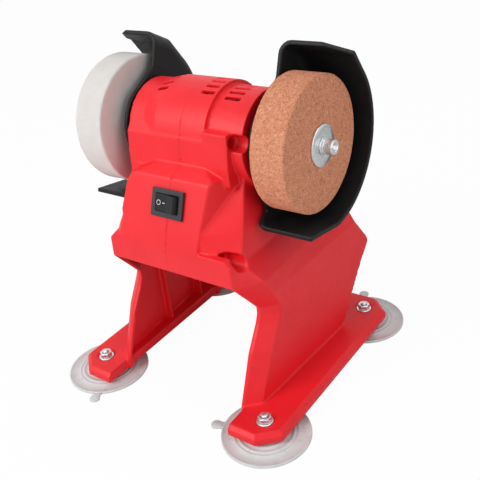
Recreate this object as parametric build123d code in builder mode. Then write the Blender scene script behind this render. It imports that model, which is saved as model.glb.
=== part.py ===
# Cordless mini bench grinder: a red two-part moulded stand with the motor barrel on top,
# a brown grinding wheel on the right, a white felt wheel on the left, and four suction feet.
# Frame: X along the spindle (+X is the grinding wheel), -Y is the switch side, +Z up.
# The origin is on the table, midway between the four feet. Lengths are millimetres.
import os
from math import cos, radians, sin

from build123d import *

os.makedirs("parts", exist_ok=True)

# Overall layout
spindle_height = 154.9
spindle_setback = 3.4
foot_half_x = 63.7
foot_half_y = 61.9
overrun = 200.0
wall = 2.6
fit = 0.05
gap = 0.3

# Barrel of the housing
barrel_half_length = 40.5
collar_radius = 27.3
band_radius = 30.0
band_left = 19.0
band_right = 17.0
band_taper = 11.0
end_wall = 3.0
vent_width = 2.6
vent_first_angle = 66.0
vent_step_angle = 11.0
vent_count = 6
vent_rows = (("left", -26.6, 8.4), ("right", 6.2, 9.0), ("right", 21.0, 10.5))
cradle_rib = 2.0
cradle_rib_shares = (0.25, 0.62)
end_bore_radius = 5.5

# Stand: shares are of foot_half_x, foot_half_y and spindle_height
# Each row is a level and the corners A (front), B (front side), C (rear side), D (rear)
rail_bottom = 4.2
rail_height = 6.8
leg_level_shares = (
    (0.071, (0.73, -0.955), (0.87, -0.83), (0.950, 0.62), (0.82, 0.65)),
    (0.265, (0.755, -0.745), (0.885, -0.61), (0.950, 1.02), (0.82, 1.05)),
    (0.360, (0.755, -0.585), (0.887, -0.455), (0.950, 1.25), (0.82, 1.28)),
    (0.395, (0.755, -0.545), (0.888, -0.410), (0.950, 1.20), (0.82, 1.23)),
    (0.425, (0.752, -0.545), (0.890, -0.400), (0.948, 1.14), (0.82, 1.17)),
    (0.500, (0.730, -0.70), (0.893, -0.500), (0.940, 0.99), (0.81, 1.06)),
    (0.568, (0.706, -0.845), (0.880, -0.600), (0.830, 1.00), (0.70, 1.06)),
    (0.652, (0.700, -0.840), (0.725, -0.700), (0.700, 0.97), (0.60, 1.03)),
    (0.675, (0.640, -0.835), (0.680, -0.700), (0.650, 0.90), (0.55, 0.95)),
)
corner_share = 0.41
apron_bottom_share = 0.568
rib_thickness = 1.6
rib_inner_share = 0.79
rib_outer_share = 0.885
rib_place_shares = (-0.12, 0.42)

# Neck between platform and barrel, corners F (front), S (front side), R (rear side), Q (rear).
# The right front corner is cut back for the closing screws, the left one is full.
neck_level_shares = (
    (0.640, (0.46, -0.80), (0.735, -0.700), (0.72, 0.74), (0.50, 0.86)),
    (0.675, (0.45, -0.79), (0.715, -0.660), (0.69, 0.66), (0.48, 0.78)),
    (0.742, (0.353, -0.775), (0.675, -0.557), (0.65, 0.56), (0.45, 0.66)),
    (0.878, (0.502, -0.323), (0.575, -0.323), (0.58, 0.42), (0.48, 0.48)),
    (0.925, (0.510, -0.323), (0.585, -0.323), (0.59, 0.41), (0.49, 0.47)),
    (1.030, (0.530, -0.323), (0.602, -0.323), (0.60, 0.40), (0.50, 0.46)),
)
neck_left_front_shares = (
    ((0.60, -0.83), (0.735, -0.700)),
    ((0.58, -0.825), (0.715, -0.680)),
    ((0.55, -0.765), (0.670, -0.600)),
    ((0.50, -0.595), (0.625, -0.462)),
    ((0.50, -0.448), (0.625, -0.448)),
    ((0.50, -0.400), (0.628, -0.380)),
)
neck_inner_top_share = 1.0

# Front block that carries the switch, side view (Y, Z) and front view (X, Z)
waist_top = (-0.430, 1.035)
waist_bottom = (-0.460, 0.943)
panel_top = (-0.614, 0.912)
panel_bottom = (-0.790, 0.730)
block_foot = (-0.837, 0.675)
block_back_share = -0.24
block_view_shares = (
    (-0.52, 0.60), (-0.52, 0.72), (-0.56, 0.77), (-0.52, 0.875), (-0.48, 0.905), (-0.22, 0.95),
    (0.22, 0.95), (0.46, 0.912), (0.56, 0.885), (0.56, 0.60),
)
waist_left_share = -0.62
collar_blend = (-0.302, 1.103)
shoulder_top_share = 1.072
wedge_shares = ((0.525, -0.28), (0.365, -0.78), (0.335, -0.90), (1.2, -0.90), (1.2, -0.28))

# Screws that close the two halves: places (Y, Z) and where the wide mouth starts in X
screw_place_shares = ((-0.350, 1.037), (-0.705, 0.652), (0.76, 0.652), (0.36, 0.85))
mouth_radius = 4.6
mouth_start_share = 0.52
screw_bore_radius = 3.4
screw_boss_radius = 5.4
screw_seat = 8.0
screw_shank_radius = 1.5
screw_length = 20.0
screw_head_radius = 2.8
screw_head_height = 2.2
pilot_clearance = 0.2

# Foot rails
rail_half_width = 15.5
rail_centre_share = 0.983
rail_half_length = 77.0
rail_clip_x = 12.0
rail_clip_y = 11.0
rail_edge_chamfer = 2.6
rail_floor = 3.0
pad_half_length = 19.0
nut_pocket_radius = 6.0
nut_pocket_depth = 1.2
nut_pocket_headroom = 7.0

# Feet
cup_radius = 26.5
cup_edge = 1.3
cup_ring_radius = 16.5
cup_ring_height = 2.6
cup_neck_radius = 9.0
cup_hollow = 1.3
cup_tab_reach = 34.5
cup_tab_width = 7.0
cup_tab_neck = 5.0
cup_tab_angles = (297.0, 196.0, 16.0, 117.0)
stud_radius = 2.0
stud_flange_radius = 5.5
stud_flange_height = 1.0
foot_washer_radius = 4.9
foot_washer_height = 0.8
foot_nut_flats = 7.0
foot_nut_height = 3.2
stud_tip = 1.2

# Motor, a double-shaft brushed motor
can_radius = 21.0
can_half_length = 27.0
can_wall = 1.2
magnet_thickness = 4.2
magnet_half_length = 19.0
magnet_arc = 130.0
bell_length = 5.0
bell_boss_length = 4.0
bell_boss_radius = 10.5
bearing_outer_radius = 8.0
bearing_length = 5.0
bearing_ring_wall = 1.7
ball_count = 7
ball_radius = 1.4
ball_clearance = 0.08
cage_thickness = 0.6
cage_length = 3.4
core_radius = 14.8
core_half_length = 14.0
core_slots = 5
core_hub_radius = 6.2
core_arm_width = 4.6
core_shoe = 2.6
slot_mouth_width = 2.2
winding_overhang = 3.2
commutator_radius = 5.0
commutator_length = 6.0
commutator_bars = 5
commutator_slit = 0.5
brush_width = 3.6
brush_length = 5.0
brush_thickness = 3.0
brush_tube_wall = 0.8
brush_lift = 0.1
holder_start = 6.5
holder_end = 17.0
spring_radius = 1.1
spring_wire = 0.25
spring_turns = 5
commutator_start = -24.2
fan_radius = 14.0
fan_plate = 1.2
fan_blade_height = 2.6
fan_hub_radius = 4.0
fan_blades = 9
motor_tab_length = 5.0
motor_tab_width = 4.0
motor_tab_thickness = 0.8
motor_tab_spacing = 12.0

# Spindle and wheels
spindle_radius = 2.5
spindle_half_length = 58.0
guard_face_gap = 3.0
hub_start = 44.0
wheel_radius = 37.5
wheel_width = 20.6
wheel_inner = 52.2
wheel_bore_radius = 5.0
wheel_edge = 0.8
felt_radius = 39.5
felt_width = 20.6
felt_edge = 1.6
flange_radius = 11.5
flange_thickness = 2.2
hub_radius = 7.0
hub_reach_share = 0.85
hub_screw_radius = 1.5
hub_screw_sink = 0.4
hub_screw_place = 46.3
big_washer_radius = 11.6
big_washer_thickness = 1.4
flat_washer_radius = 5.0
flat_washer_thickness = 1.0
spring_washer_radius = 4.6
spring_washer_thickness = 1.2
spring_washer_cut = 1.0
cap_radius = 4.25
cap_height = 5.0
cap_socket_flats = 4.0
cap_socket_depth = 2.6
cap_shank_radius = 2.5
cap_shank_length = 16.0

# Guards, outline corners as shares of the guard radius
guard_radius = 45.5
guard_wall = 2.6
guard_outer_reach = 80.0
guard_corner = 8.0
guard_bevel_length = 9.0
guard_bevel_height = 8.0
guard_ring_radius = 26.0
guard_bore_radius = 13.0
guard_seat_radius = 21.5
guard_tip_share = (0.255, 1.08)
guard_shoulder_share = (0.582, 0.897)
guard_arc_start_angle = 40.0
guard_arc_end_angle = -88.0
guard_chin_share = (-0.60, -0.885)
guard_chin_root_share = (-0.37, -0.80)
guard_ring_low_angle = 210.0
guard_ring_top_angle = 112.0
guard_brow_share = (0.12, 0.72)
guard_screw_circle = 17.5
guard_screw_angles = (30.0, 150.0, 270.0)
guard_screw_radius = 1.4
guard_screw_head = 2.7
guard_screw_head_height = 1.8
guard_screw_length = 11.0

# Switch, a snap-in rocker on the sloping panel
bezel_width = 22.4
bezel_height = 16.2
bezel_thickness = 2.0
bezel_border = 2.9
switch_case_width = 18.6
switch_case_height = 12.8
switch_case_depth = 14.0
switch_place_share = 0.47
rocker_half_angle = 11.0
rocker_end_radius = 8.0
rocker_tip_angle = 23.0
rocker_foot_angle = -24.0
rocker_pin_reach = 6.0
rocker_face_rise = 1.7
rocker_pin_radius = 1.1
rocker_pivot_rise = 0.6
switch_floor = 2.0
switch_tab_width = 4.8
switch_tab_length = 7.0
switch_tab_thickness = 0.8
switch_tab_spacing = 7.0

# Battery dock under the platform, open to the rear
dock_half_width = 46.5
dock_front = -30.0
dock_rear = 54.0
dock_plate = 3.0
dock_rise = 1.5
dock_rail_place = 33.0
dock_rail_height = 9.0
dock_rail_width = 4.0
dock_lip = 5.0
dock_lip_thickness = 2.6
dock_boss_radius = 3.6
dock_boss_x = 42.0
dock_boss_y = (-22.0, 46.0)
terminal_half_width = 17.0
terminal_front = -28.0
terminal_depth = 9.0
terminal_drop = 9.0
terminal_tray_rear = 6.0
terminal_tray_height = 3.0
blade_count = 3
blade_spacing = 10.0
blade_length = 14.0
blade_height = 6.5
blade_thickness = 0.8
blade_root = 2.0
dock_screw_radius = 1.4
dock_screw_length = 8.0
dock_screw_head = 2.8
dock_screw_head_height = 1.8

# Leads
lead_radius = 1.1
lead_bend = 6.0
lead_landing_y = 2.0
lead_run_x = -14.0
lead_knee = 8.5
lead_front_drop = 15.9
lead_rear_drop = 14.9
lead_back = -3.0


def stand_point(x_share, y_share):
    """A plan point of the stand from its shares."""
    return (x_share * foot_half_x, y_share * foot_half_y)


def side_point(share):
    """A side-view point (Y, Z) of the stand from its shares."""
    return (share[0] * foot_half_y, share[1] * spindle_height)


def side_corners(corners, inset):
    """Four plan corners of one side, front to rear, inset by a wall."""
    (ax, ay), (bx, by), (cx, cy), (dx, dy) = [stand_point(*corner) for corner in corners]
    slip = inset * corner_share
    return [
        (ax - slip, ay + inset),
        (bx - inset, by + slip),
        (cx - inset, cy - slip),
        (dx - slip, dy - inset),
    ]


def octagon(corners, inset, left_front=None):
    """The eight-cornered plan outline; the left side mirrors the right or has its own front corners."""
    right = side_corners(corners, inset)
    left = side_corners(left_front + corners[2:], inset) if left_front else right
    return right + [(-x, y) for x, y in reversed(left)]


def tapered_body(levels, inset=0, left_fronts=None):
    """A faceted body through plan outlines at (height, corners) levels."""
    left_fronts = left_fronts or [None] * len(levels)
    with BuildPart() as body:
        for (height, corners), left_front in zip(levels, left_fronts):
            with BuildSketch(Plane.XY.offset(height)):
                with BuildLine():
                    Polyline(*octagon(corners, inset, left_front), close=True)
                make_face()
        loft(ruled=True)
    return body.part


def front_block(inset=0):
    """The raised front block: switch panel, ledge above it and foot below it."""
    side = [side_point(share) for share in (waist_top, waist_bottom, panel_top, panel_bottom, block_foot)]
    side = [(y + inset, z) for y, z in side]
    back = block_back_share * foot_half_y
    side += [(back, side[-1][1]), (back, side[0][1])]
    view = [(x * foot_half_x, z * spindle_height) for x, z in block_view_shares]
    wedge = [stand_point(*share) for share in wedge_shares]
    with BuildPart() as block:
        with BuildSketch(Plane.YZ):
            with BuildLine():
                Polyline(*side, close=True)
            make_face()
        extrude(amount=foot_half_x, both=True)
        with BuildSketch(Plane.XZ):
            with BuildLine():
                Polyline(*view, close=True)
            make_face()
            if inset:
                offset(amount=-inset, kind=Kind.INTERSECTION, mode=Mode.REPLACE)
        extrude(amount=overrun, both=True, mode=Mode.INTERSECT)
        with BuildSketch(Plane.XY):
            with BuildLine():
                Polyline(*wedge, close=True)
            make_face()
            if inset:
                offset(amount=inset, kind=Kind.INTERSECTION, mode=Mode.REPLACE)
        extrude(amount=overrun, mode=Mode.SUBTRACT)
    return block.part


# Lines and planes along the spindle
spindle_line = Axis((0, spindle_setback, spindle_height), (1, 0, 0))


def spindle_plane(x=0, flip=False):
    """A plane square to the spindle at x, its local x to the rear and its local y up."""
    side = -1 if flip else 1
    return Plane(origin=(x, spindle_setback, spindle_height), x_dir=(0, side, 0), z_dir=(side, 0, 0))


half_section = Plane(origin=(0, spindle_setback, spindle_height), x_dir=(1, 0, 0), z_dir=(0, -1, 0))


def turned(points):
    """A body turned about the spindle from (X, radius) points."""
    with BuildPart() as body:
        with BuildSketch(half_section):
            with BuildLine():
                Polyline(*points, close=True)
            make_face()
        revolve(axis=spindle_line)
    return body.part


def tube(start, end, outer, inner=0):
    """A plain ring or shaft about the spindle between two stations."""
    return turned([(start, inner), (end, inner), (end, outer), (start, outer)])


def screw_places():
    """Places (Y, Z) of the screws that close the housing."""
    return [side_point(share) for share in screw_place_shares]


# Red housing, both halves in one before it is split
rail_top = rail_bottom + rail_height
leg_levels = [(rail_bottom, leg_level_shares[0][1:])]
leg_levels += [(share[0] * spindle_height, share[1:]) for share in leg_level_shares]
leg_cavity_levels = [(0, leg_level_shares[0][1:])] + leg_levels[1:-2]
leg_cavity_levels += [(height - wall, corners) for height, corners in leg_levels[-2:]]
neck_levels = [(share[0] * spindle_height, share[1:]) for share in neck_level_shares]
neck_cavity_levels = neck_levels[:-1] + [(neck_inner_top_share * spindle_height, neck_levels[-1][1])]
apron_bottom = apron_bottom_share * spindle_height
band_inner = band_radius - wall
collar_inner = collar_radius - wall
barrel_outline = [
    (-barrel_half_length, 0), (-barrel_half_length, collar_radius),
    (-band_left - band_taper, collar_radius), (-band_left, band_radius),
    (band_right, band_radius), (band_right, collar_radius),
    (barrel_half_length, collar_radius), (barrel_half_length, 0),
]
cavity_end = barrel_half_length - end_wall
barrel_cavity = [
    (-cavity_end, 0), (-cavity_end, collar_inner),
    (-band_left - band_taper, collar_inner), (-band_left, band_inner),
    (band_right - wall, band_inner), (band_right - wall, collar_inner),
    (cavity_end, collar_inner), (cavity_end, 0),
]
rail_centre = rail_centre_share * foot_half_x
rail_plan = [
    (-rail_half_width, -rail_half_length),
    (rail_half_width - rail_clip_x, -rail_half_length),
    (rail_half_width, -rail_half_length + rail_clip_y),
    (rail_half_width, rail_half_length - rail_clip_y),
    (rail_half_width - rail_clip_x, rail_half_length),
    (-rail_half_width, rail_half_length),
]
waist_box_left = waist_left_share * foot_half_x
waist_box_right = mouth_start_share * foot_half_x
feet = [(sx * foot_half_x, sy * foot_half_y) for sx in (-1, 1) for sy in (-1, 1)]
leg_opening = leg_level_shares[6][1][0] * foot_half_x
rib_top = apron_bottom - wall

with BuildPart() as envelope:
    add(tapered_body(leg_levels))
    add(tapered_body(neck_levels, left_fronts=neck_left_front_shares))
    add(front_block())
    add(turned(barrel_outline))
    # straight waist face, run tangent into the collar on the left
    with BuildSketch(Plane.YZ.offset(waist_box_left)):
        with BuildLine():
            Polyline(
                side_point(collar_blend),
                side_point(waist_top),
                side_point(waist_bottom),
                (waist_bottom[0] * foot_half_y, neck_level_shares[3][0] * spindle_height),
                (block_back_share * foot_half_y, neck_level_shares[3][0] * spindle_height),
                (block_back_share * foot_half_y, collar_blend[1] * spindle_height),
                close=True,
            )
        make_face()
    extrude(amount=band_right - waist_box_left)
    # shoulder around the upper closing screw
    with BuildSketch(Plane.YZ.offset(band_right)):
        with BuildLine():
            Polyline(
                (waist_top[0] * foot_half_y, shoulder_top_share * spindle_height),
                side_point(waist_top),
                side_point(waist_bottom),
                (waist_bottom[0] * foot_half_y, neck_level_shares[3][0] * spindle_height),
                (block_back_share * foot_half_y, neck_level_shares[3][0] * spindle_height),
                (block_back_share * foot_half_y, shoulder_top_share * spindle_height),
                close=True,
            )
        make_face()
    extrude(amount=waist_box_right - band_right)

# Screw sockets, kept inside the outer shape
mouth_start = waist_box_right
dock_top = apron_bottom + dock_rise + dock_plate
with BuildPart() as sockets:
    with BuildSketch(Plane.YZ.offset(-screw_length)):
        with Locations(*screw_places()):
            Circle(screw_boss_radius)
    extrude(amount=screw_length + mouth_start)
    with BuildSketch(Plane.YZ.offset(mouth_start - wall)):
        with Locations(*screw_places()):
            Circle(mouth_radius + wall)
    extrude(amount=foot_half_x)
    with BuildSketch(Plane.XY.offset(dock_top)):
        with Locations(*[(sx * dock_boss_x, y) for sx in (-1, 1) for y in dock_boss_y]):
            Circle(dock_boss_radius)
    extrude(amount=dock_boss_radius * 2)
    add(envelope.part, mode=Mode.INTERSECT)

# Switch panel plane, facing out of the sloping front
panel_high, panel_low = side_point(panel_top), side_point(panel_bottom)
panel_run = Vector(0, panel_low[0] - panel_high[0], panel_low[1] - panel_high[1])
switch_spot = Vector(0, *panel_high) + panel_run * switch_place_share
panel_up = -panel_run.normalized()
panel_out = Vector(1, 0, 0).cross(panel_up)
panel_plane = Plane(origin=switch_spot, x_dir=(1, 0, 0), z_dir=panel_out)

end_wall_outer = barrel_half_length
guard_face = end_wall_outer + guard_face_gap
guard_screw_spots = [
    (guard_screw_circle * cos(radians(angle)), guard_screw_circle * sin(radians(angle)))
    for angle in guard_screw_angles
]
can_seat_radius = can_radius + gap
bell_end = can_half_length + bell_length

with BuildPart() as shell:
    add(envelope.part)
    add(tapered_body(leg_cavity_levels, wall), mode=Mode.SUBTRACT)
    add(tapered_body(neck_cavity_levels, wall, neck_left_front_shares), mode=Mode.SUBTRACT)
    add(front_block(wall), mode=Mode.SUBTRACT)
    add(turned(barrel_cavity), mode=Mode.SUBTRACT)
    # open front and rear between the legs
    with BuildSketch(Plane.XY):
        Rectangle(2 * leg_opening, 2 * overrun)
    extrude(amount=apron_bottom, mode=Mode.SUBTRACT)
    # cradle ribs that hold the motor can
    for share, outer in zip(cradle_rib_shares, (band_radius, collar_radius)):
        for side in (-1, 1):
            place = side * share * barrel_half_length
            add(tube(place - cradle_rib / 2, place + cradle_rib / 2, outer - wall / 2, can_radius))
    add(sockets.part)
    add(tube(-bell_end - gap, bell_end + gap, can_seat_radius), mode=Mode.SUBTRACT)
    # opening for the switch
    with BuildSketch(panel_plane):
        Rectangle(switch_case_width + 2 * fit, switch_case_height + 2 * fit)
    extrude(amount=2 * wall, both=True, mode=Mode.SUBTRACT)
    # spindle holes through the end walls
    with BuildSketch(spindle_plane()):
        Circle(end_bore_radius)
    extrude(amount=overrun, both=True, mode=Mode.SUBTRACT)
    # cooling vents across the top of the barrel
    for row, start, length in vent_rows:
        for count in range(vent_count):
            angle = radians(vent_first_angle + count * vent_step_angle)
            out = Vector(0, -cos(angle), sin(angle))
            foot = Vector(start + length / 2, spindle_setback, spindle_height)
            with BuildSketch(Plane(origin=foot, x_dir=(1, 0, 0), z_dir=out).offset(can_radius)):
                Rectangle(length, vent_width)
    extrude(amount=band_radius, mode=Mode.SUBTRACT)
    # pilot holes for the guard screws
    for flip in (False, True):
        with BuildSketch(spindle_plane(0, flip)):
            with Locations(*guard_screw_spots):
                Circle(guard_screw_radius - pilot_clearance)
        extrude(amount=overrun, mode=Mode.SUBTRACT)
    # pilot holes for the dock screws
    with BuildSketch(Plane.XY.offset(dock_top)):
        with Locations(*[(sx * dock_boss_x, y) for sx in (-1, 1) for y in dock_boss_y]):
            Circle(dock_screw_radius - pilot_clearance)
    extrude(amount=dock_screw_length - dock_plate, mode=Mode.SUBTRACT)


def foot_rail(side):
    """The flat rail under one leg, its outer top edges chamfered."""
    inner_edge = rail_centre - rail_half_width
    with BuildPart() as rail:
        with BuildSketch(Plane.XY.offset(rail_bottom)):
            with BuildLine():
                Polyline(*[(side * (rail_centre + x), y) for x, y in rail_plan], close=True)
            make_face()
        extrude(amount=rail_height)
        top_edges = rail.faces().sort_by(Axis.Z)[-1].edges()
        chamfer([edge for edge in top_edges if abs(edge.center().X) > inner_edge + gap], rail_edge_chamfer)
    return rail.part


def stand_half(side):
    """One half of the housing with its foot rail; side is 1 for the right half."""
    foot_x = side * foot_half_x
    with BuildPart() as half:
        add(shell.part)
        split(bisect_by=Plane.YZ, keep=Keep.TOP if side > 0 else Keep.BOTTOM)
        # foot rail
        add(foot_rail(side))
        with BuildSketch(Plane.XY.offset(rail_bottom)):
            with Locations((side * rail_centre, 0)):
                Rectangle(2 * (rail_half_width - rail_floor), 2 * (foot_half_y - pad_half_length))
        extrude(amount=rail_height - rail_floor, mode=Mode.SUBTRACT)
        # stiffening ribs inside the leg
        for share in rib_place_shares:
            with BuildSketch(Plane.XZ.offset(-share * foot_half_y)):
                with BuildLine():
                    Polyline(
                        (side * rib_inner_share * foot_half_x, rail_top),
                        (side * rib_outer_share * foot_half_x, rail_top),
                        (side * rib_outer_share * foot_half_x, rib_top),
                        (side * rib_inner_share * foot_half_x, rib_top),
                        close=True,
                    )
                make_face()
            extrude(amount=rib_thickness / 2, both=True)
        # holes and pockets for the feet
        with BuildSketch(Plane.XY):
            with Locations((foot_x, -foot_half_y), (foot_x, foot_half_y)):
                Circle(stud_radius + gap)
        extrude(amount=rail_top + wall, mode=Mode.SUBTRACT)
        with BuildSketch(Plane.XY.offset(rail_top - nut_pocket_depth)):
            with Locations((foot_x, -foot_half_y), (foot_x, foot_half_y)):
                Circle(nut_pocket_radius)
        extrude(amount=nut_pocket_headroom, mode=Mode.SUBTRACT)
        # closing screws: wide mouths and bores on the right, pilots on the left
        if side > 0:
            with BuildSketch(Plane.YZ.offset(mouth_start)):
                with Locations(*screw_places()):
                    Circle(mouth_radius)
            extrude(amount=overrun, mode=Mode.SUBTRACT)
            with BuildSketch(Plane.YZ.offset(screw_seat)):
                with Locations(*screw_places()):
                    Circle(screw_bore_radius)
            extrude(amount=mouth_start - screw_seat, mode=Mode.SUBTRACT)
            with BuildSketch(Plane.YZ):
                with Locations(*screw_places()):
                    Circle(screw_shank_radius + gap)
            extrude(amount=screw_seat, mode=Mode.SUBTRACT)
        else:
            with BuildSketch(Plane.YZ.offset(screw_seat - screw_length - gap)):
                with Locations(*screw_places()):
                    Circle(screw_shank_radius - pilot_clearance)
            extrude(amount=screw_length - screw_seat + gap, mode=Mode.SUBTRACT)
    half.part.label = "housing_right" if side > 0 else "housing_left"
    return half


housing_left = stand_half(-1)
export_step(housing_left.part, "parts/housing_left.step")
housing_right = stand_half(1)
export_step(housing_right.part, "parts/housing_right.step")


# Screws that close the housing: pan heads seated deep in the right half
with BuildPart() as housing_screws:
    with BuildSketch(Plane.YZ.offset(screw_seat)):
        with Locations(*screw_places()):
            Circle(screw_head_radius)
    extrude(amount=screw_head_height)
    with BuildSketch(Plane.YZ.offset(screw_seat - screw_length)):
        with Locations(*screw_places()):
            Circle(screw_shank_radius - pilot_clearance - fit)
    extrude(amount=screw_length)
housing_screws.part.label = "housing_screws"
export_step(housing_screws.part, "parts/housing_screws.step")


def disc(plane, radius, length, inner=0):
    """A round plate or ring standing on a plane."""
    with BuildPart() as body:
        with BuildSketch(plane):
            Circle(radius)
            if inner:
                Circle(inner, mode=Mode.SUBTRACT)
        extrude(amount=length)
    return body.part


# Wheel guards: a back plate against the barrel and a rim around the rear of the wheel
def guard_spot(share):
    """A point of the guard outline, rear and up from the spindle."""
    return (share[0] * guard_radius, share[1] * guard_radius)


def around(radius, angle):
    """A point on a circle about the spindle, angle from the rear."""
    return (radius * cos(radians(angle)), radius * sin(radians(angle)))


guard_clearing = 3 * guard_radius
guard_rim_start = guard_face + guard_wall
guard_arc = [
    around(guard_radius, guard_arc_start_angle),
    around(guard_radius, (guard_arc_start_angle + guard_arc_end_angle) / 2),
    around(guard_radius, guard_arc_end_angle),
]
guard_tip, guard_chin = Vector(*guard_spot(guard_tip_share)), Vector(*guard_spot(guard_chin_share))
guard_lip_run = (guard_tip - Vector(*guard_spot(guard_shoulder_share))).normalized()
guard_chin_run = (guard_chin - Vector(*guard_arc[2])).normalized()
guard_lip_side = Vector(-guard_lip_run.Y, guard_lip_run.X) * -1
guard_chin_side = Vector(-guard_chin_run.Y, guard_chin_run.X)


def guard_tub(start, corner, growth=0):
    """The guard's form before its front is cut open, standing on its back with a rounded foot."""
    with BuildPart() as tub:
        with BuildSketch(spindle_plane(start)):
            with BuildLine():
                Polyline(
                    guard_tip + guard_lip_run * guard_radius,
                    guard_spot(guard_shoulder_share),
                    guard_arc[0],
                )
                ThreePointArc(*guard_arc)
                Polyline(
                    guard_arc[2],
                    guard_chin + guard_chin_run * guard_radius,
                    guard_tip + guard_lip_run * guard_radius,
                )
            make_face()
            if growth:
                offset(amount=growth, kind=Kind.INTERSECTION)
        extrude(amount=guard_outer_reach - start)
        fillet(tub.faces().sort_by(Axis.X)[0].edges(), radius=corner)
    return tub.part


with BuildPart() as guard_right:
    add(guard_tub(guard_face, guard_corner, guard_wall))
    add(guard_tub(guard_rim_start, guard_corner - guard_wall), mode=Mode.SUBTRACT)
    # open front, around the barrel's end
    with BuildSketch(spindle_plane(guard_face)):
        with BuildLine():
            Polyline(
                (-guard_clearing, guard_clearing),
                guard_tip + guard_lip_side * guard_corner,
                guard_tip,
                guard_spot(guard_brow_share),
                around(guard_ring_radius, guard_ring_top_angle),
            )
            ThreePointArc(
                around(guard_ring_radius, guard_ring_top_angle),
                around(guard_ring_radius, (guard_ring_low_angle + guard_ring_top_angle) / 2),
                around(guard_ring_radius, guard_ring_low_angle),
            )
            Polyline(
                around(guard_ring_radius, guard_ring_low_angle),
                guard_spot(guard_chin_root_share),
                guard_chin,
                guard_chin + guard_chin_side * guard_corner,
                (-guard_clearing, -guard_clearing),
                (-guard_clearing, guard_clearing),
            )
        make_face()
    extrude(amount=guard_outer_reach - guard_face, mode=Mode.SUBTRACT)
    # bevelled outer corner of the top lip
    bevel_top = guard_spot(guard_tip_share)[1] + guard_wall
    bevel_low = bevel_top - guard_bevel_height - guard_wall
    with BuildSketch(half_section.offset(-guard_radius)):
        with BuildLine():
            Polyline(
                (guard_outer_reach - guard_bevel_length - guard_wall, bevel_top),
                (guard_outer_reach + guard_wall, bevel_top),
                (guard_outer_reach + guard_wall, bevel_low),
                close=True,
            )
        make_face()
    extrude(amount=2 * guard_radius, mode=Mode.SUBTRACT)
    # seat against the end wall of the barrel
    add(disc(spindle_plane(end_wall_outer), guard_seat_radius, guard_face_gap))
    with BuildSketch(spindle_plane(end_wall_outer)):
        Circle(guard_bore_radius)
        with Locations(*guard_screw_spots):
            Circle(guard_screw_radius + pilot_clearance)
    extrude(amount=guard_face_gap + guard_wall, mode=Mode.SUBTRACT)
guard_right.part.label = "guard_right"
export_step(guard_right.part, "parts/guard_right.step")

with BuildPart() as guard_left:
    add(guard_right.part)
    mirror(about=Plane.YZ, mode=Mode.REPLACE)
guard_left.part.label = "guard_left"
export_step(guard_left.part, "parts/guard_left.step")

with BuildPart() as guard_screws:
    for flip in (False, True):
        side = -1 if flip else 1
        with BuildSketch(spindle_plane(side * guard_rim_start, flip)):
            with Locations(*guard_screw_spots):
                Circle(guard_screw_head)
        extrude(amount=guard_screw_head_height)
        with BuildSketch(spindle_plane(side * (guard_rim_start - guard_screw_length), flip)):
            with Locations(*guard_screw_spots):
                Circle(guard_screw_radius - pilot_clearance - fit)
        extrude(amount=guard_screw_length)
guard_screws.part.label = "guard_screws"
export_step(guard_screws.part, "parts/guard_screws.step")

# Suction feet: clear cup with a pull tab, stud moulded into its neck, washer and nut on the rail
stud_seat = rail_top - nut_pocket_depth
stud_foot = cup_ring_height
stud_end = stud_seat + foot_washer_height + foot_nut_height + stud_tip
corners = ((-1, -1, "front_left"), (1, -1, "front_right"), (-1, 1, "rear_left"), (1, 1, "rear_right"))
for (side, end, corner_name), tab_angle in zip(corners, cup_tab_angles):
    spot = (side * foot_half_x, end * foot_half_y)
    tab_way = Vector(cos(radians(tab_angle)), sin(radians(tab_angle)), 0)
    tab_plane = Plane(origin=Vector(*spot, 0), x_dir=tab_way, z_dir=(0, 0, 1))
    tab_round = cup_tab_reach - cup_tab_width / 2
    with BuildPart() as cup:
        with BuildSketch(Plane(origin=(*spot, 0), x_dir=(1, 0, 0), z_dir=(0, -1, 0))):
            with BuildLine():
                Polyline(
                    (0, cup_hollow),
                    (cup_ring_radius, cup_hollow - gap),
                    (cup_radius - cup_edge, 0),
                    (cup_radius, 0),
                    (cup_radius, cup_edge),
                    (cup_ring_radius, cup_ring_height),
                    (cup_neck_radius, cup_ring_height + gap),
                    (cup_neck_radius, rail_bottom),
                    (0, rail_bottom),
                    close=True,
                )
            make_face()
        revolve(axis=Axis((*spot, 0), (0, 0, 1)))
        with BuildSketch(tab_plane):
            with Locations(((cup_ring_radius + cup_neck_radius + tab_round) / 2, 0)):
                Rectangle(tab_round - cup_ring_radius - cup_neck_radius, cup_tab_neck)
            with Locations((tab_round, 0)):
                Circle(cup_tab_width / 2)
        extrude(amount=cup_edge)
        with BuildSketch(Plane.XY.offset(stud_foot)):
            with Locations(spot):
                Circle(stud_flange_radius)
        extrude(amount=stud_flange_height, mode=Mode.SUBTRACT)
        with BuildSketch(Plane.XY.offset(stud_foot)):
            with Locations(spot):
                Circle(stud_radius)
        extrude(amount=rail_bottom, mode=Mode.SUBTRACT)
    cup.part.label = "suction_cup_" + corner_name
    export_step(cup.part, "parts/suction_cup_" + corner_name + ".step")

with BuildPart() as foot_studs:
    with BuildSketch(Plane.XY.offset(stud_foot)):
        with Locations(*feet):
            Circle(stud_flange_radius)
    extrude(amount=stud_flange_height)
    with BuildSketch(Plane.XY.offset(stud_foot)):
        with Locations(*feet):
            Circle(stud_radius)
    extrude(amount=stud_end - stud_foot)
foot_studs.part.label = "foot_studs"
export_step(foot_studs.part, "parts/foot_studs.step")

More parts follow.
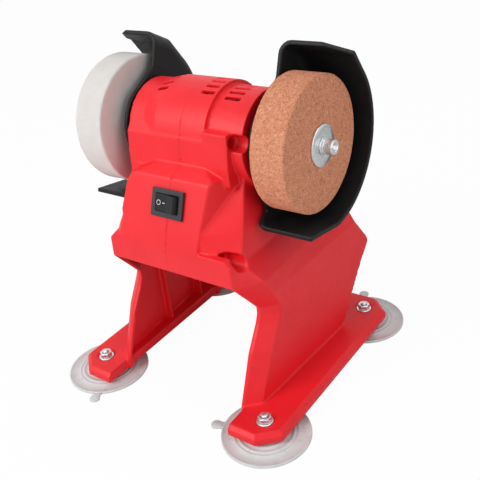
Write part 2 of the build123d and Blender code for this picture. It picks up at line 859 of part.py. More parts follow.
with BuildPart() as foot_washers:
    with BuildSketch(Plane.XY.offset(stud_seat)):
        with Locations(*feet):
            Circle(foot_washer_radius)
            Circle(stud_radius, mode=Mode.SUBTRACT)
    extrude(amount=foot_washer_height)
foot_washers.part.label = "foot_washers"
export_step(foot_washers.part, "parts/foot_washers.step")

with BuildPart() as foot_nuts:
    with BuildSketch(Plane.XY.offset(stud_seat + foot_washer_height)):
        with Locations(*feet):
            RegularPolygon(foot_nut_flats / 2, 6, major_radius=False)
            Circle(stud_radius, mode=Mode.SUBTRACT)
    extrude(amount=foot_nut_height)
foot_nuts.part.label = "foot_nuts"
export_step(foot_nuts.part, "parts/foot_nuts.step")

# Motor: drawn can, two arc magnets, moulded end bells with the bearings
magnet_outer = can_radius - can_wall
magnet_inner = magnet_outer - magnet_thickness
motor_can = tube(-can_half_length, can_half_length, can_radius, magnet_outer)
motor_can.label = "motor_can"
export_step(motor_can, "parts/motor_can.step")

with BuildPart() as field_magnets:
    add(tube(-magnet_half_length, magnet_half_length, magnet_outer, magnet_inner))
    half_open = (180 - magnet_arc) / 2
    for middle in (0, 180):
        with BuildSketch(spindle_plane()):
            with BuildLine():
                Polyline(
                    (0, 0),
                    around(2 * can_radius, middle - half_open),
                    around(2 * can_radius, middle + half_open),
                    close=True,
                )
            make_face()
        extrude(amount=can_half_length, both=True, mode=Mode.SUBTRACT)
field_magnets.part.label = "field_magnets"
export_step(field_magnets.part, "parts/field_magnets.step")

bearing_start = bell_end + bell_boss_length - bearing_length
bearing_end = bell_end + bell_boss_length
brush_place = commutator_start + commutator_length / 2
holder_half = brush_thickness / 2 + fit + brush_tube_wall
holder_half_height = brush_width / 2 + fit + brush_tube_wall
spigot_end = can_half_length - can_wall
motor_tab_x = -can_half_length - bell_length / 2
motor_tab_spots = [(motor_tab_x, spindle_setback + side * motor_tab_spacing / 2) for side in (-1, 1)]
for side, side_name in ((-1, "left"), (1, "right")):
    with BuildPart() as end_bell:
        add(tube(side * can_half_length, side * bell_end, can_radius))
        add(tube(side * spigot_end, side * can_half_length, magnet_outer - fit))
        add(tube(side * bell_end, side * bearing_end, bell_boss_radius))
        if side < 0:
            # pads behind the brush holders
            for way in (-1, 1):
                with BuildSketch(Plane.YZ.offset(-spigot_end)):
                    with Locations((spindle_setback + way * (holder_start + holder_end) / 2, spindle_height)):
                        Rectangle(holder_end - holder_start, 2 * holder_half_height)
                extrude(amount=spigot_end + brush_place - holder_half)
            # slots for the terminal tabs
            with BuildSketch(Plane.XY.offset(spindle_height - can_radius)):
                with Locations(*motor_tab_spots):
                    Rectangle(motor_tab_thickness, motor_tab_width)
            extrude(amount=motor_tab_length, mode=Mode.SUBTRACT)
        add(tube(side * bearing_start, side * bearing_end, bearing_outer_radius + fit), mode=Mode.SUBTRACT)
        add(tube(0, side * bell_end, spindle_radius + 2 * gap), mode=Mode.SUBTRACT)
    end_bell.part.label = "end_bell_" + side_name
    export_step(end_bell.part, "parts/end_bell_" + side_name + ".step")

with BuildPart() as motor_terminals:
    with BuildSketch(Plane.XY.offset(spindle_height - can_radius - motor_tab_length)):
        with Locations(*motor_tab_spots):
            Rectangle(motor_tab_thickness, motor_tab_width)
    extrude(amount=2 * motor_tab_length)
motor_terminals.part.label = "motor_terminals"
export_step(motor_terminals.part, "parts/motor_terminals.step")

# Ball bearings: rings with a ball groove, loose balls, thin cage
ball_circle = (bearing_outer_radius + spindle_radius) / 2
spindle_bore = spindle_radius + fit
for side, side_name in ((-1, "left"), (1, "right")):
    ring_start, ring_end = side * bearing_start, side * bearing_end
    ring_middle = (ring_start + ring_end) / 2
    ball_spots = [around(ball_circle, 360 * count / ball_count) for count in range(ball_count)]
    ball_places = [(ring_middle, spindle_setback + y, spindle_height + z) for y, z in ball_spots]
    rings = (
        ("outer_ring", bearing_outer_radius, bearing_outer_radius - bearing_ring_wall),
        ("inner_ring", spindle_radius + bearing_ring_wall, spindle_bore),
    )
    for ring_name, outer, inner in rings:
        with BuildPart() as ring:
            add(tube(ring_start, ring_end, outer, inner))
            with BuildSketch(half_section):
                with Locations((ring_middle, ball_circle)):
                    Circle(ball_radius + ball_clearance)
            revolve(axis=spindle_line, mode=Mode.SUBTRACT)
        ring.part.label = "bearing_" + side_name + "_" + ring_name
        export_step(ring.part, "parts/bearing_" + side_name + "_" + ring_name + ".step")
    with BuildPart() as balls:
        with Locations(*ball_places):
            Sphere(ball_radius)
    balls.part.label = "bearing_" + side_name + "_balls"
    export_step(balls.part, "parts/bearing_" + side_name + "_balls.step")
    with BuildPart() as cage:
        add(
            tube(
                ring_middle - cage_length / 2,
                ring_middle + cage_length / 2,
                ball_circle + cage_thickness / 2,
                ball_circle - cage_thickness / 2,
            )
        )
        for place in ball_places:
            outward = Vector(*place) - Vector(ring_middle, spindle_setback, spindle_height)
            with BuildSketch(Plane(origin=place, x_dir=(1, 0, 0), z_dir=outward)):
                Circle(ball_radius + ball_clearance)
            extrude(amount=ball_radius, both=True, mode=Mode.SUBTRACT)
    cage.part.label = "bearing_" + side_name + "_cage"
    export_step(cage.part, "parts/bearing_" + side_name + "_cage.step")

# Spindle and what turns with it inside the motor
spindle = tube(-spindle_half_length, spindle_half_length, spindle_radius)
spindle.label = "spindle"
export_step(spindle, "parts/spindle.step")

slot_floor = core_radius - core_shoe
with BuildPart() as armature_core:
    with BuildSketch(spindle_plane(-core_half_length)):
        Circle(core_radius)
        Circle(slot_floor, mode=Mode.SUBTRACT)
        with PolarLocations(0, core_slots):
            Rectangle(slot_floor + core_shoe / 2, core_arm_width, align=(Align.MIN, Align.CENTER))
        Circle(core_hub_radius)
        with PolarLocations(core_radius, core_slots, start_angle=180 / core_slots):
            Rectangle(2 * core_shoe + gap, slot_mouth_width, mode=Mode.SUBTRACT)
        Circle(spindle_bore, mode=Mode.SUBTRACT)
    extrude(amount=2 * core_half_length)
armature_core.part.label = "armature_core"
export_step(armature_core.part, "parts/armature_core.step")

winding_end = core_half_length + winding_overhang
with BuildPart() as armature_windings:
    add(tube(-winding_end, winding_end, slot_floor - fit, core_hub_radius + fit))
    add(armature_core.part, mode=Mode.SUBTRACT)
armature_windings.part.label = "armature_windings"
export_step(armature_windings.part, "parts/armature_windings.step")

with BuildPart() as commutator:
    add(tube(commutator_start, commutator_start + commutator_length, commutator_radius, spindle_bore))
    with BuildSketch(spindle_plane(commutator_start)):
        with PolarLocations(commutator_radius, commutator_bars):
            Rectangle(2 * commutator_slit, commutator_slit)
    extrude(amount=commutator_length, mode=Mode.SUBTRACT)
commutator.part.label = "commutator"
export_step(commutator.part, "parts/commutator.step")

fan_start = winding_end + fan_plate
with BuildPart() as cooling_fan:
    add(tube(fan_start, fan_start + fan_plate, fan_radius, spindle_bore))
    add(tube(fan_start, fan_start + fan_plate + fan_blade_height, fan_hub_radius, spindle_bore))
    with BuildSketch(spindle_plane(fan_start)):
        with PolarLocations(fan_hub_radius - gap, fan_blades):
            Rectangle(fan_radius - fan_hub_radius, fan_plate, align=(Align.MIN, Align.CENTER))
    extrude(amount=fan_plate + fan_blade_height)
cooling_fan.part.label = "cooling_fan"
export_step(cooling_fan.part, "parts/cooling_fan.step")

# Brushes in brass holders, front and rear of the commutator
brush_start = commutator_radius + brush_lift
brush_back = brush_start + brush_length
spring_end = holder_end - brush_tube_wall


def brush_boxes(start, end, length, height):
    """Centres of a pair of boxes on both sides of the commutator, with their size."""
    middles = [spindle_setback + way * (start + end) / 2 for way in (-1, 1)]
    return [(brush_place, y, spindle_height) for y in middles], (length, end - start, height)


with BuildPart() as carbon_brushes:
    places, size = brush_boxes(brush_start, brush_back, brush_thickness, brush_width)
    with Locations(*places):
        Box(*size)
carbon_brushes.part.label = "carbon_brushes"
export_step(carbon_brushes.part, "parts/carbon_brushes.step")

with BuildPart() as brush_holders:
    places, size = brush_boxes(holder_start, holder_end, 2 * holder_half, 2 * holder_half_height)
    with Locations(*places):
        Box(*size)
    places, size = brush_boxes(holder_start, spring_end, brush_thickness + 2 * fit, brush_width + 2 * fit)
    with Locations(*places):
        Box(*size, mode=Mode.SUBTRACT)
brush_holders.part.label = "brush_holders"
export_step(brush_holders.part, "parts/brush_holders.step")

with BuildPart() as brush_springs:
    for way in (-1, 1):
        coil_height = spring_end - brush_back - 2 * spring_wire
        coil_foot = (brush_place, spindle_setback + way * (brush_back + spring_wire), spindle_height)
        with BuildLine() as coil:
            pitch = coil_height / spring_turns
            Helix(pitch, coil_height, spring_radius, center=coil_foot, direction=(0, way, 0))
        with BuildSketch(Plane(origin=coil.line @ 0, z_dir=coil.line % 0)):
            Circle(spring_wire)
        sweep(path=coil.line, is_frenet=True)
brush_springs.part.label = "brush_springs"
export_step(brush_springs.part, "parts/brush_springs.step")

# Wheel hubs: sleeve with a flange behind the wheel, held on the spindle by a set screw
hub_end = wheel_inner + hub_reach_share * wheel_width
hub_outline = [
    (hub_start, spindle_bore), (hub_start, hub_radius),
    (wheel_inner - flange_thickness, hub_radius), (wheel_inner - flange_thickness, flange_radius),
    (wheel_inner, flange_radius), (wheel_inner, wheel_bore_radius - fit),
    (hub_end, wheel_bore_radius - fit), (hub_end, spindle_bore),
]
for side, side_name in ((-1, "left"), (1, "right")):
    with BuildPart() as hub:
        add(turned([(side * x, radius) for x, radius in hub_outline]))
        with BuildSketch(Plane.XY.offset(spindle_height)):
            with Locations((side * hub_screw_place, spindle_setback)):
                Circle(hub_screw_radius)
        extrude(amount=flange_radius, mode=Mode.SUBTRACT)
    hub.part.label = "hub_" + side_name
    export_step(hub.part, "parts/hub_" + side_name + ".step")

with BuildPart() as hub_set_screws:
    with BuildSketch(Plane.XY.offset(spindle_height + spindle_radius + fit)):
        with Locations(*[(side * hub_screw_place, spindle_setback) for side in (-1, 1)]):
            Circle(hub_screw_radius - fit)
    extrude(amount=hub_radius - spindle_radius - hub_screw_sink)
    with BuildSketch(Plane.XY.offset(spindle_height + (hub_radius + spindle_radius) / 2)):
        with Locations(*[(side * hub_screw_place, spindle_setback) for side in (-1, 1)]):
            RegularPolygon(hub_screw_radius / 2, 6)
    extrude(amount=hub_radius, mode=Mode.SUBTRACT)
hub_set_screws.part.label = "hub_set_screws"
export_step(hub_set_screws.part, "parts/hub_set_screws.step")


def wheel(start, width, radius, edge):
    """A wheel with chamfered rims and a bore for the hub sleeve."""
    end = start + width
    step = edge if width > 0 else -edge
    return turned([
        (start, wheel_bore_radius), (start, radius - edge), (start + step, radius),
        (end - step, radius), (end, radius - edge), (end, wheel_bore_radius),
    ])


grinding_wheel = wheel(wheel_inner, wheel_width, wheel_radius, wheel_edge)
grinding_wheel.label = "grinding_wheel"
export_step(grinding_wheel, "parts/grinding_wheel.step")
felt_wheel = wheel(-wheel_inner, -felt_width, felt_radius, felt_edge)
felt_wheel.label = "felt_wheel"
export_step(felt_wheel, "parts/felt_wheel.step")

# Clamping stack outside each wheel, the same on both sides
washer_bore = cap_shank_radius + gap
wheel_outer = wheel_inner + wheel_width
flat_start = wheel_outer + big_washer_thickness
spring_start = flat_start + flat_washer_thickness
cap_start = spring_start + spring_washer_thickness
with BuildPart() as outer_washers:
    for side in (-1, 1):
        add(tube(side * wheel_outer, side * flat_start, big_washer_radius, washer_bore))
outer_washers.part.label = "outer_washers"
export_step(outer_washers.part, "parts/outer_washers.step")

with BuildPart() as flat_washers:
    for side in (-1, 1):
        add(tube(side * flat_start, side * spring_start, flat_washer_radius, washer_bore))
flat_washers.part.label = "flat_washers"
export_step(flat_washers.part, "parts/flat_washers.step")

with BuildPart() as spring_washers:
    for side in (-1, 1):
        add(tube(side * spring_start, side * cap_start, spring_washer_radius, washer_bore))
    with BuildSketch(spindle_plane(-cap_start)):
        with Locations((0, spring_washer_radius)):
            Rectangle(spring_washer_cut, 2 * (spring_washer_radius - spindle_radius) + gap)
    extrude(amount=2 * cap_start, mode=Mode.SUBTRACT)
spring_washers.part.label = "spring_washers"
export_step(spring_washers.part, "parts/spring_washers.step")

with BuildPart() as cap_screws:
    for side in (-1, 1):
        flip = side < 0
        add(tube(side * cap_start, side * (cap_start + cap_height), cap_radius))
        add(tube(side * (cap_start - cap_shank_length), side * cap_start, cap_shank_radius))
        with BuildSketch(spindle_plane(side * (cap_start + cap_height - cap_socket_depth), flip)):
            RegularPolygon(cap_socket_flats / 2, 6, major_radius=False)
        extrude(amount=cap_socket_depth, mode=Mode.SUBTRACT)
cap_screws.part.label = "cap_screws"
export_step(cap_screws.part, "parts/cap_screws.step")

# Rocker switch snapped into the panel; the rocker stands in its off position
switch_pivot = switch_spot + panel_out * rocker_pivot_rise
pin_plane = Plane(origin=switch_pivot, x_dir=(1, 0, 0), z_dir=panel_up)
switch_hollow_width = bezel_width - 2 * bezel_border
switch_hollow_height = bezel_height - 2 * bezel_border
switch_tab_spots = [(side * switch_tab_spacing / 2, 0) for side in (-1, 1)]
with BuildPart() as switch_body:
    with BuildSketch(panel_plane):
        Rectangle(bezel_width, bezel_height)
    extrude(amount=bezel_thickness)
    with BuildSketch(panel_plane):
        Rectangle(switch_case_width, switch_case_height)
    extrude(amount=-switch_case_depth)
    with BuildSketch(panel_plane.offset(switch_floor - switch_case_depth)):
        Rectangle(switch_hollow_width, switch_hollow_height)
    extrude(amount=overrun, mode=Mode.SUBTRACT)
    with BuildSketch(pin_plane):
        Circle(rocker_pin_radius + fit)
    extrude(amount=rocker_pin_reach + fit, both=True, mode=Mode.SUBTRACT)
    with BuildSketch(panel_plane.offset(-switch_case_depth)):
        with Locations(*switch_tab_spots):
            Rectangle(switch_tab_thickness, switch_tab_width)
    extrude(amount=switch_floor, mode=Mode.SUBTRACT)
switch_body.part.label = "switch_body"
export_step(switch_body.part, "parts/switch_body.step")

rocker_lift = Vector(cos(radians(rocker_half_angle)), 0, 0) + panel_out * sin(radians(rocker_half_angle))
rocker_plane = Plane(origin=switch_pivot, x_dir=rocker_lift, z_dir=-panel_up)
rocker_tip = around(rocker_end_radius, rocker_tip_angle)
rocker_foot = around(rocker_end_radius, rocker_foot_angle)
with BuildPart() as switch_rocker:
    with BuildSketch(rocker_plane):
        with BuildLine():
            Line((0, rocker_face_rise), rocker_tip)
            ThreePointArc(rocker_tip, (rocker_end_radius, 0), rocker_foot)
            Line(rocker_foot, (-rocker_foot[0], rocker_foot[1]))
            far_foot, far_tip = (-rocker_foot[0], rocker_foot[1]), (-rocker_tip[0], rocker_tip[1])
            ThreePointArc(far_foot, (-rocker_end_radius, 0), far_tip)
            Line((-rocker_tip[0], rocker_tip[1]), (0, rocker_face_rise))
        make_face()
    extrude(amount=switch_hollow_height / 2 - gap, both=True)
    with BuildSketch(pin_plane):
        Circle(rocker_pin_radius)
    extrude(amount=rocker_pin_reach, both=True)
switch_rocker.part.label = "switch_rocker"
export_step(switch_rocker.part, "parts/switch_rocker.step")

with BuildPart() as switch_terminals:
    with BuildSketch(panel_plane.offset(-switch_case_depth - switch_tab_length)):
        with Locations(*switch_tab_spots):
            Rectangle(switch_tab_thickness, switch_tab_width)
    extrude(amount=switch_tab_length + switch_floor)
switch_terminals.part.label = "switch_terminals"
export_step(switch_terminals.part, "parts/switch_terminals.step")

# Battery dock: plate with two L rails below, terminal block with blades at its front
dock_bottom = dock_top - dock_plate
dock_middle = (dock_front + dock_rear) / 2
terminal_middle = terminal_front + terminal_depth / 2
terminal_rear = terminal_front + terminal_depth
dock_screw_spots = [(side * dock_boss_x, y) for side in (-1, 1) for y in dock_boss_y]
rail_run = dock_rear - terminal_rear
with BuildPart() as battery_dock:
    with BuildSketch(Plane.XY.offset(dock_bottom)):
        with Locations((0, dock_middle)):
            Rectangle(2 * dock_half_width, dock_rear - dock_front)
        with Locations((0, terminal_middle)):
            Rectangle(2 * terminal_half_width, terminal_depth, mode=Mode.SUBTRACT)
        with Locations(*dock_screw_spots):
            Circle(dock_screw_radius + pilot_clearance, mode=Mode.SUBTRACT)
    extrude(amount=dock_plate)
    for side in (-1, 1):
        with BuildSketch(Plane.XY.offset(dock_bottom - dock_rail_height)):
            with Locations((side * (dock_rail_place + dock_rail_width / 2), (dock_rear + terminal_rear) / 2)):
                Rectangle(dock_rail_width, rail_run)
        extrude(amount=dock_rail_height)
        with BuildSketch(Plane.XY.offset(dock_bottom - dock_rail_height)):
            with Locations((side * (dock_rail_place - dock_lip / 2), (dock_rear + terminal_rear) / 2)):
                Rectangle(dock_lip, rail_run)
        extrude(amount=dock_lip_thickness)
battery_dock.part.label = "battery_dock"
export_step(battery_dock.part, "parts/battery_dock.step")

with BuildPart() as dock_screws:
    with BuildSketch(Plane.XY.offset(dock_bottom - dock_screw_head_height)):
        with Locations(*dock_screw_spots):
            Circle(dock_screw_head)
    extrude(amount=dock_screw_head_height)
    with BuildSketch(Plane.XY.offset(dock_bottom)):
        with Locations(*dock_screw_spots):
            Circle(dock_screw_radius - pilot_clearance - fit)
    extrude(amount=dock_screw_length)
dock_screws.part.label = "dock_screws"
export_step(dock_screws.part, "parts/dock_screws.step")

blade_spots = [((count - (blade_count - 1) / 2) * blade_spacing) for count in range(blade_count)]
blade_middle_y = terminal_rear + (blade_length - blade_root) / 2
blade_middle_z = dock_bottom - terminal_drop / 2
tray_top = dock_top + terminal_tray_height
with BuildPart() as terminal_blades:
    with Locations(*[(x, blade_middle_y, blade_middle_z) for x in blade_spots]):
        Box(blade_thickness, blade_length + blade_root, blade_height)
terminal_blades.part.label = "terminal_blades"
export_step(terminal_blades.part, "parts/terminal_blades.step")

with BuildPart() as terminal_block:
    with BuildSketch(Plane.XY.offset(dock_bottom - terminal_drop)):
        with Locations((0, terminal_middle)):
            Rectangle(2 * terminal_half_width, terminal_depth)
    extrude(amount=terminal_drop + dock_plate)
    with BuildSketch(Plane.XY.offset(dock_top)):
        with Locations((0, (terminal_front + terminal_tray_rear) / 2)):
            Rectangle(2 * terminal_half_width, terminal_tray_rear - terminal_front)
    extrude(amount=terminal_tray_height)
    add(terminal_blades.part, mode=Mode.SUBTRACT)
terminal_block.part.label = "terminal_block"
export_step(terminal_block.part, "parts/terminal_block.step")

# Leads between dock, switch and motor
motor_tab_tip = spindle_height - can_radius - motor_tab_length
switch_tip = switch_spot - panel_out * (switch_case_depth + switch_tab_length)
front_y, rear_y = motor_tab_spots[0][1], motor_tab_spots[1][1]
switch_lead_x = switch_tab_spots[1][0]


def lead_knee_point(x, y):
    """Where a lead at (x, y) turns to run straight into its switch terminal."""
    return (x, y, switch_tip.Z + (y - switch_tip.Y) * panel_out.Z / panel_out.Y)


leads = {
    "lead_dock_switch": [
        (switch_lead_x, lead_landing_y, tray_top),
        lead_knee_point(switch_lead_x, lead_landing_y),
        (switch_lead_x, switch_tip.Y, switch_tip.Z),
    ],
    "lead_dock_motor": [
        (lead_run_x, lead_landing_y, tray_top),
        (lead_run_x, lead_landing_y, tray_top + lead_knee),
        (motor_tab_x, rear_y, motor_tab_tip - lead_rear_drop),
        (motor_tab_x, rear_y, motor_tab_tip),
    ],
    "lead_switch_motor": [
        (-switch_lead_x, switch_tip.Y, switch_tip.Z),
        lead_knee_point(-switch_lead_x, lead_back),
        (motor_tab_x, front_y, motor_tab_tip - lead_front_drop),
        (motor_tab_x, front_y, motor_tab_tip),
    ],
}
for lead_name, points in leads.items():
    with BuildPart() as lead:
        with BuildLine() as run:
            FilletPolyline(*points, radius=lead_bend)
        with BuildSketch(Plane(origin=run.line @ 0, z_dir=run.line % 0)):
            Circle(lead_radius)
        sweep(path=run.line)
    lead.part.label = lead_name
    export_step(lead.part, "parts/" + lead_name + ".step")
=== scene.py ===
import math

import bmesh
import bpy
from mathutils import Matrix, Vector, noise


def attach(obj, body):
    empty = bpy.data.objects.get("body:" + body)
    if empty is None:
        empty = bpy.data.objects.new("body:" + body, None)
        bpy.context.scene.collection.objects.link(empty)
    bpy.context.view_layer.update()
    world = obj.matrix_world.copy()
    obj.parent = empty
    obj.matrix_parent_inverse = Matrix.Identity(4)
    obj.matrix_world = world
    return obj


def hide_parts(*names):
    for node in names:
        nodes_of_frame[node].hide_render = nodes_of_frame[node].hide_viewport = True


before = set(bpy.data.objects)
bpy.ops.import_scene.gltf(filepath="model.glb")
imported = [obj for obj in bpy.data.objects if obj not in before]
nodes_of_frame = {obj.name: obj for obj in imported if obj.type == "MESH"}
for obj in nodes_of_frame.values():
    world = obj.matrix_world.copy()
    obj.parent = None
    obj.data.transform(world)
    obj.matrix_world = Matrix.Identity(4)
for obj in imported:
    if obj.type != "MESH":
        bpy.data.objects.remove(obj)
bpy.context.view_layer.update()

# The housing is two red halves, injection moulded in tough plastic with a fine eroded texture.
# The tool leaves every edge a little round. The halves meet on the centre plane, hold the motor
# barrel between them, and are pulled together by four screws from the right.
mm = 0.001
weld_reach = 0.0002 * mm
parting_reach, parting_growth, parting_clearance = 0.002 * mm, 3 * mm, 0.015 * mm


def tint(*levels):
    """A colour from its 8-bit red, green and blue."""
    return tuple(((c / 255 + 0.055) / 1.055) ** 2.4 if c > 10 else c / 255 / 12.92 for c in levels)


def start_finish(name, colour, roughness, metallic=0.0):
    """A material and its shader, ready for the detail of one finish."""
    finish = bpy.data.materials.new(name)
    finish.use_nodes = True
    tree = finish.node_tree
    shader = tree.nodes["Principled BSDF"]
    shader.inputs["Base Color"].default_value = (*colour, 1)
    shader.inputs["Roughness"].default_value = roughness
    shader.inputs["Metallic"].default_value = metallic
    finish.diffuse_color = (*colour, 1)
    return finish, tree, shader


def clouds(tree, scale, detail=4.0, stretch=(1, 1, 1)):
    """Noise over the piece itself, its grain per metre, stretched along an axis if asked."""
    place = tree.nodes.new("ShaderNodeTexCoord")
    mapping = tree.nodes.new("ShaderNodeMapping")
    mapping.inputs["Scale"].default_value = stretch
    tree.links.new(place.outputs["Object"], mapping.inputs["Vector"])
    cloud = tree.nodes.new("ShaderNodeTexNoise")
    cloud.inputs["Scale"].default_value = scale
    cloud.inputs["Detail"].default_value = detail
    tree.links.new(mapping.outputs["Vector"], cloud.inputs["Vector"])
    return cloud


def shades(tree, source, stops, target):
    """Feeds a shader socket from a noise through colour stops."""
    ramp = tree.nodes.new("ShaderNodeValToRGB")
    elements = ramp.color_ramp.elements
    while len(elements) < len(stops):
        elements.new(0.5)
    for element, (place, colour) in zip(elements, stops):
        element.position = place
        element.color = (*colour, 1)
    tree.links.new(source, ramp.inputs["Fac"])
    tree.links.new(ramp.outputs["Color"], target)


def spread(tree, source, low, high, target):
    """Feeds a shader socket from a noise between two values."""
    range_node = tree.nodes.new("ShaderNodeMapRange")
    range_node.inputs["From Min"].default_value = 0.3
    range_node.inputs["From Max"].default_value = 0.7
    range_node.inputs["To Min"].default_value = low
    range_node.inputs["To Max"].default_value = high
    tree.links.new(source, range_node.inputs["Value"])
    tree.links.new(range_node.outputs["Result"], target)


def relief(tree, shader, source, height, below=None):
    """Raises the surface by a height in metres where the noise is bright."""
    bump = tree.nodes.new("ShaderNodeBump")
    bump.inputs["Distance"].default_value = height
    bump.inputs["Strength"].default_value = 1.0
    tree.links.new(source, bump.inputs["Height"])
    if below:
        tree.links.new(below.outputs["Normal"], bump.inputs["Normal"])
    tree.links.new(bump.outputs["Normal"], shader.inputs["Normal"])
    return bump


def moulded_finish(name, colour, worn, roughness, texture=0.02):
    """Moulded plastic: a little uneven in shade and gloss, with fine texture and softer swells."""
    finish, tree, shader = start_finish(name, colour, roughness)
    broad = clouds(tree, 45, 3)
    shades(tree, broad.outputs["Fac"], ((0.35, colour), (0.7, worn)), shader.inputs["Base Color"])
    streaks = clouds(tree, 260, 5)
    spread(tree, streaks.outputs["Fac"], roughness - 0.06, roughness + 0.08, shader.inputs["Roughness"])
    swell = relief(tree, shader, clouds(tree, 90, 2).outputs["Fac"], 0.04 * mm)
    relief(tree, shader, clouds(tree, 2600, 3).outputs["Fac"], texture * mm, swell)
    shader.inputs["Specular IOR Level"].default_value = 0.45
    return finish


def applied(piece):
    """Makes a piece's modifiers part of its mesh."""
    view = bpy.context.evaluated_depsgraph_get()
    shaped = bpy.data.meshes.new_from_object(piece.evaluated_get(view))
    piece.modifiers.clear()
    piece.data = shaped


def softened(node, name, grain, passes, keep=1.0, parting=0, softness=None):
    """A copy of a moulded node with its edges rounded, by a share that may follow the place.

    A parting side is grown past the centre plane first, and cut flat there after the rounding.
    """
    mesh = nodes_of_frame[node].data.copy()
    mesh.materials.clear()
    if parting:
        form = bmesh.new()
        form.from_mesh(mesh)
        bmesh.ops.remove_doubles(form, verts=form.verts, dist=weld_reach)
        meeting = [
            face for face in form.faces
            if all(abs(corner.co.x) < parting_reach for corner in face.verts)
        ]
        grown = bmesh.ops.extrude_face_region(form, geom=meeting)["geom"]
        for corner in grown:
            if isinstance(corner, bmesh.types.BMVert):
                corner.co.x = -parting * parting_growth
        form.to_mesh(mesh)
        form.free()
    piece = bpy.data.objects.new(name, mesh)
    bpy.context.collection.objects.link(piece)
    remesh = piece.modifiers.new("skin", "REMESH")
    remesh.mode = "VOXEL"
    remesh.voxel_size = grain * mm
    applied(piece)
    smooth = piece.modifiers.new("edges", "SMOOTH")
    smooth.factor = 0.5
    smooth.iterations = passes
    if softness:
        worked = piece.vertex_groups.new(name="worked")
        shares = {}
        for vertex in piece.data.vertices:
            shares.setdefault(softness(vertex.co / mm), []).append(vertex.index)
        for share, held in shares.items():
            worked.add(held, share, "REPLACE")
        smooth.vertex_group = "worked"
    if keep < 1:
        thin = piece.modifiers.new("thin", "DECIMATE")
        thin.ratio = keep
    applied(piece)
    shaped = piece.data
    if parting:
        form = bmesh.new()
        form.from_mesh(shaped)
        cut = bmesh.ops.bisect_plane(
            form,
            geom=form.verts[:] + form.edges[:] + form.faces[:],
            plane_co=(parting * parting_clearance, 0, 0),
            plane_no=(-parting, 0, 0),
            clear_outer=True,
        )
        rim = [
            edge for edge in cut["geom_cut"]
            if isinstance(edge, bmesh.types.BMEdge) and edge.is_boundary
        ]
        bmesh.ops.triangle_fill(form, edges=rim)
        form.to_mesh(shaped)
        form.free()
    shaped.shade_smooth()
    return piece


def fit(piece, finish, body, slot, *nodes):
    """Gives a piece its finish, the body it moves with, and the nodes it stands for."""
    piece.data.materials.clear()
    piece.data.materials.append(finish)
    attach(piece, body)
    if nodes:
        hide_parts(*nodes)


red = moulded_finish("red_plastic", tint(244, 26, 38), tint(250, 34, 46), 0.45)
spindle_y, spindle_z = 3.4, 154.9
slot_bottom, slot_half_depth = spindle_z + 12, 31
front_bottom, front_top, front_face, front_half_width = 131, 170, -20, 31
crease_x, crease_reach = 17, 3
slot_softness, front_softness, usual_softness = 0.12, 1.0, 0.45


def housing_softness(spot):
    """Sharp round the cooling slots, soft on the front above the switch but for one crease."""
    if spot.z > slot_bottom and abs(spot.y - spindle_y) < slot_half_depth:
        return slot_softness
    on_front = front_bottom < spot.z < front_top and spot.y < front_face and abs(spot.x) < front_half_width
    if on_front and abs(spot.x - crease_x) > crease_reach:
        return front_softness
    return usual_softness


for node, parting in (("housing_left", -1), ("housing_right", 1)):
    half = softened(
        node, node + "_skin", grain=0.5, passes=32, keep=0.4, parting=parting, softness=housing_softness,
    )
    fit(half, red, "base", "red_plastic", node)

# The guards are black mouldings screwed to the barrel's end walls, each a flat plate with a deep
# rim round the back of its wheel. The same plastic makes the battery dock under the platform.
black = moulded_finish("guard_plastic", tint(19, 19, 20), tint(25, 25, 26), 0.5)
black.node_tree.nodes["Principled BSDF"].inputs["Specular IOR Level"].default_value = 0.25
for node in ("guard_left", "guard_right"):
    skin = softened(node, node + "_skin", grain=0.55, passes=5, keep=0.5)
    fit(skin, black, "base", "guard_plastic", node)
for node in ("battery_dock", "terminal_block"):
    skin = softened(node, node + "_skin", grain=0.5, passes=3, keep=0.5)
    fit(skin, black, "base", "dock_plastic", node)


# The grinding wheel is abrasive grain bonded and fired in a mould, then trued on its rim, so the
# grains stand open on every face. It slides on the hub sleeve and is clamped against the flange.
def ringed(name, rings, place, way, steps=96):
    """A body from rings (along, radius) about an axis; a radius may follow the angle.

    Rings that start on the axis also end there. Others are closed back to the first one.
    """
    turn = Vector((0, 0, 1)).rotation_difference(Vector(way)).to_matrix().to_4x4()
    frame_of = Matrix.Translation(Vector(place) * mm) @ turn
    form = bmesh.new()
    rows = []
    for along, radius in rings:
        row = []
        for step in range(steps):
            angle = 2 * math.pi * step / steps
            reach = radius(angle) if callable(radius) else radius
            spot = Vector((reach * math.cos(angle), reach * math.sin(angle), along)) * mm
            row.append(form.verts.new(frame_of @ spot))
        rows.append(row)
    pairs = list(zip(rows, rows[1:]))
    if rings[0][1] != 0:
        pairs.append((rows[-1], rows[0]))
    for low, high in pairs:
        for step in range(steps):
            after = (step + 1) % steps
            form.faces.new((low[step], low[after], high[after], high[step]))
    bmesh.ops.remove_doubles(form, verts=form.verts, dist=0.001 * mm)
    bmesh.ops.recalc_face_normals(form, faces=form.faces)
    mesh = bpy.data.meshes.new(name)
    form.to_mesh(mesh)
    form.free()
    mesh.shade_smooth()
    piece = bpy.data.objects.new(name, mesh)
    bpy.context.collection.objects.link(piece)
    return piece


def filled_in(outline, step):
    """The same closed outline with points no further apart than a step."""
    points = []
    for (x0, r0), (x1, r1) in zip(outline, outline[1:] + outline[:1]):
        count = max(1, math.ceil(math.hypot(x1 - x0, r1 - r0) / step))
        points += [(x0 + (x1 - x0) * i / count, r0 + (r1 - r0) * i / count) for i in range(count)]
    return points


